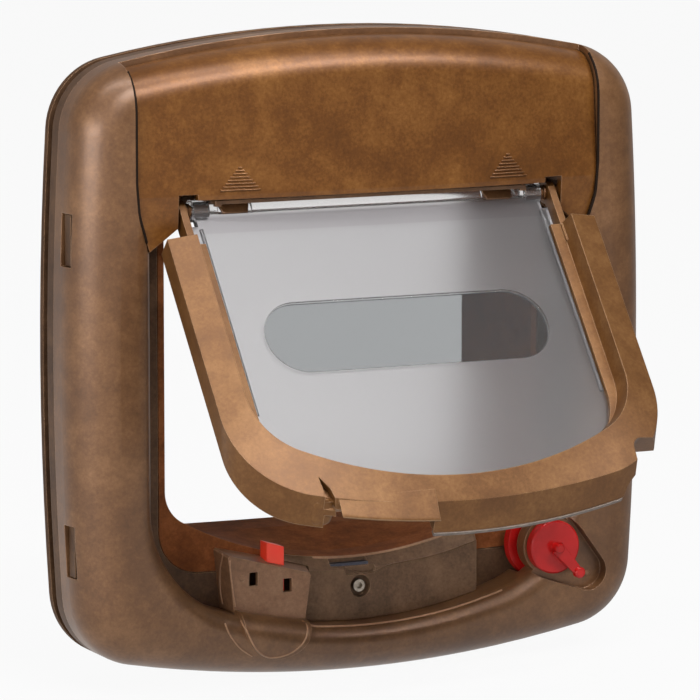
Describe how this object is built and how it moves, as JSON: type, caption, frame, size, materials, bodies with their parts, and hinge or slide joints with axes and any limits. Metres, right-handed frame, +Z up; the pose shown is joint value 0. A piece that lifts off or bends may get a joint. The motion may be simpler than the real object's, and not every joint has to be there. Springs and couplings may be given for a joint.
{
  "type": "cat flap",
  "caption": "Pet flap for a door: bowed plastic frame with a tunnel, a hinged clear flap in a U-shaped surround, a hood, a latch and a rotary lock.",
  "frame": {"origin": "centre of the four fixing holes, on the door face of the inside frame", "axes": "+X to the right as seen from the room, +Y through the door to the outside, +Z up"},
  "size_m": [0.241, 0.1702, 0.2476],
  "materials": {
    "bronze_plastic": "pearl",
    "bronze_dark": "matte",
    "clear_plastic": "frosted",
    "lip_grey": "soft",
    "red_plastic": "gloss",
    "steel": "satin",
    "magnet": "satin"
  },
  "bodies": {
    "frame": {"frame_base": "bronze_dark", "tunnel": "bronze_dark", "front_cover": "bronze_plastic", "hinge_strip": "bronze_plastic", "sill": "bronze_dark", "sill_magnet": "magnet", "sill_screw": "steel", "latch_housing": "bronze_plastic", "pivot_pin_left": "bronze_plastic", "pivot_pin_right": "bronze_plastic"},
    "hood_body": {"hood": "bronze_plastic"},
    "rear_frame": {"exterior_frame": "bronze_plastic"},
    "surround": {"flap_surround": "bronze_plastic", "surround_seal": "lip_grey"},
    "flap": {"flap_panel": "clear_plastic", "flap_magnet": "magnet"},
    "lock": {"lock_knob": "red_plastic", "lock_cam": "red_plastic", "knob_clip": "steel"},
    "latch_body": {"latch": "red_plastic", "latch_magnet": "magnet"}
  },
  "joints": [
    {"name": "hood_slide", "type": "slide", "parent": "frame", "child": "hood_body", "axis": [0, 0, 1], "range_m": [0, 0.012]},
    {"name": "rear_frame_slide", "type": "slide", "parent": "frame", "child": "rear_frame", "axis": [0, 1, 0], "range_m": [0, 0.034]},
    {"name": "surround_hinge", "type": "hinge", "parent": "frame", "child": "surround", "pos_m": [0, -0.025, 0.0606], "axis": [-1, 0, 0], "range_deg": [-39, 45]},
    {"name": "flap_hinge", "type": "hinge", "parent": "surround", "child": "flap", "pos_m": [0, -0.025, 0.0606], "axis": [-1, 0, 0], "range_deg": [-75, 0]},
    {"name": "lock_turn", "type": "hinge", "parent": "frame", "child": "lock", "pos_m": [0.0792, -0.02, -0.078], "axis": [0, -1, 0], "range_deg": [-90, 130]},
    {"name": "latch_slide", "type": "slide", "parent": "frame", "child": "latch_body", "axis": [0, 0, 1], "range_m": [-0.007, 0], "stiffness_N_per_m": 20, "springref_m": 0.002}
  ]
}
